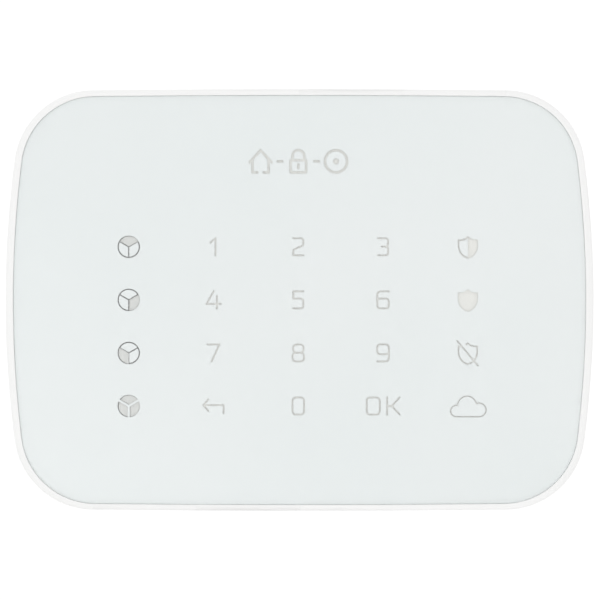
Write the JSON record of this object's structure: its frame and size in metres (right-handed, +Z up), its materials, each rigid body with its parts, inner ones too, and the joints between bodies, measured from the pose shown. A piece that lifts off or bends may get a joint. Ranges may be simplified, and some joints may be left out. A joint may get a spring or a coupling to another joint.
{
  "type": "alarm keypad panel",
  "caption": "Wall-mounted touch keypad for an alarm: a rounded rectangular panel with backlit digit, zone and mode symbols, hung on a screwed wall bracket.",
  "frame": {"origin": "centre of the wall plane, behind the middle of the device", "axes": "+X to the right as seen from the front, +Z up, +Y into the wall; the keypad faces -Y"},
  "size_m": [0.135, 0.022, 0.0968],
  "materials": {
    "white_shell": "satin moulded",
    "white_bracket": "fine moulded texture",
    "clear_plate": "polished",
    "white_print": "smooth white print",
    "adhesive": "foam tape",
    "diffuser": "frosted sheet",
    "grey_diffuser": "frosted grey sheet",
    "white_reflector": "matt white",
    "clear_guide": "clear acrylic",
    "board_laminate": "solder mask over glass laminate",
    "radio_laminate": "solder mask over glass laminate",
    "copper": "gold-plated copper",
    "lamp": "clear resin on white",
    "black_chip": "moulded epoxy",
    "tinned_steel": "tinned",
    "antenna_wire": "enamelled wire",
    "ceramic_part": "fired ceramic with tinned ends",
    "black_plastic": "moulded",
    "screw_steel": "zinc plated",
    "cell_wrap": "shrunk film",
    "cell_can": "nickel plated",
    "nickel_strip": "nickel plated",
    "spring_steel": "nickel-plated wire",
    "white_acetal": "smooth",
    "grey_button": "smooth"
  },
  "bodies": {
    "wall_base": {"wall_bracket": "white_bracket"},
    "device": {"antenna_coil": "antenna_wire", "battery_cell_1": "cell_can", "battery_cell_2": "cell_can", "battery_cell_3": "cell_can", "battery_cell_4": "cell_can", "battery_contacts": "nickel_strip", "battery_sleeves": "cell_wrap", "battery_springs": "spring_steel", "board_screws": "screw_steel", "buzzer": "black_plastic", "capacitors": "ceramic_part", "control_chip": "black_chip", "crystal": "tinned_steel", "front_housing": "white_shell", "group_diffuser": "grey_diffuser", "group_leds": "lamp", "housing_screws": "screw_steel", "key_diffuser": "diffuser", "key_leds": "lamp", "legend_film": "white_print", "lens_adhesive": "adhesive", "light_frame": "white_reflector", "light_guides": "clear_guide", "main_board": "board_laminate", "power_switch": "black_plastic", "radio_module": "radio_laminate", "radio_shield": "tinned_steel", "rear_housing": "white_shell", "regulator": "black_chip", "resistors": "black_chip", "status_leds": "lamp", "tamper_spring": "spring_steel", "tamper_switch": "black_plastic", "touch_controller": "black_chip", "touch_lens": "clear_plate", "touch_pads": "copper"},
    "tamper_pin": {"tamper_plunger": "white_acetal"},
    "button": {"power_button": "grey_button"}
  },
  "joints": [
    {"name": "device_slide", "type": "slide", "parent": "wall_base", "child": "device", "axis": [0, 0, 1], "range_m": [0, 0.006]},
    {"name": "tamper_plunge", "type": "slide", "parent": "device", "child": "tamper_pin", "axis": [0, -1, 0], "range_m": [-0.0015, 0.0005], "stiffness_N_per_m": 120, "deforming": ["tamper_spring"]},
    {"name": "power_button_press", "type": "slide", "parent": "device", "child": "button", "axis": [0, -1, 0], "range_m": [0, 0.0005], "stiffness_N_per_m": 400}
  ]
}
